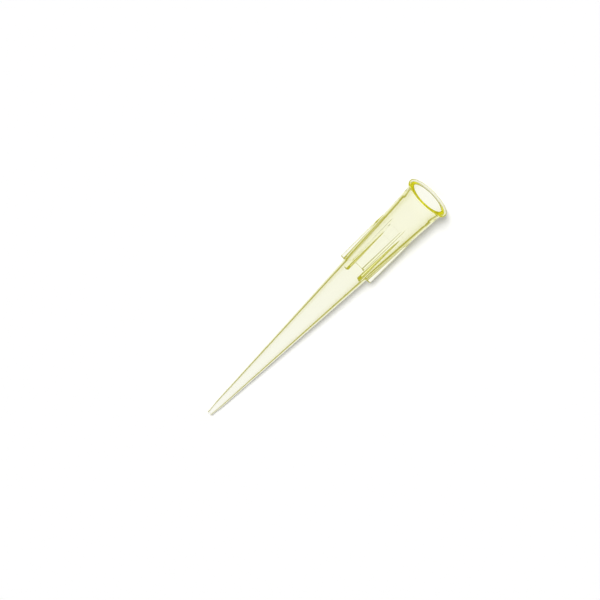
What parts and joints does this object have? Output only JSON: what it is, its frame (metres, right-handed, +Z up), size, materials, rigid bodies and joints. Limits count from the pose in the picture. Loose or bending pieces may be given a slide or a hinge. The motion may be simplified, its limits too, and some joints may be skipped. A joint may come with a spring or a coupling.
{
  "type": "pipette tip",
  "caption": "Slender tapered plastic pipette tip with a fine outlet, a ribbed head and a flanged open socket that a pipette's nozzle pushes into.",
  "frame": {"origin": "on the surface that the tip lies on, under the middle of the tip's outer box", "axes": "+X level, towards the mouth; +Z up. The tip lies as it comes to rest: on the rim of its flange and the ends of its two lowest ribs, with its axis 3.5 degrees up from level towards the mouth and its point just clear of the surface"},
  "size_m": [0.0512, 0.0074, 0.0073],
  "materials": {
    "clear_yellow_plastic": "smooth glossy clear yellow polypropylene"
  },
  "bodies": {
    "root": {"pipette_tip": "clear_yellow_plastic"}
  },
  "joints": []
}
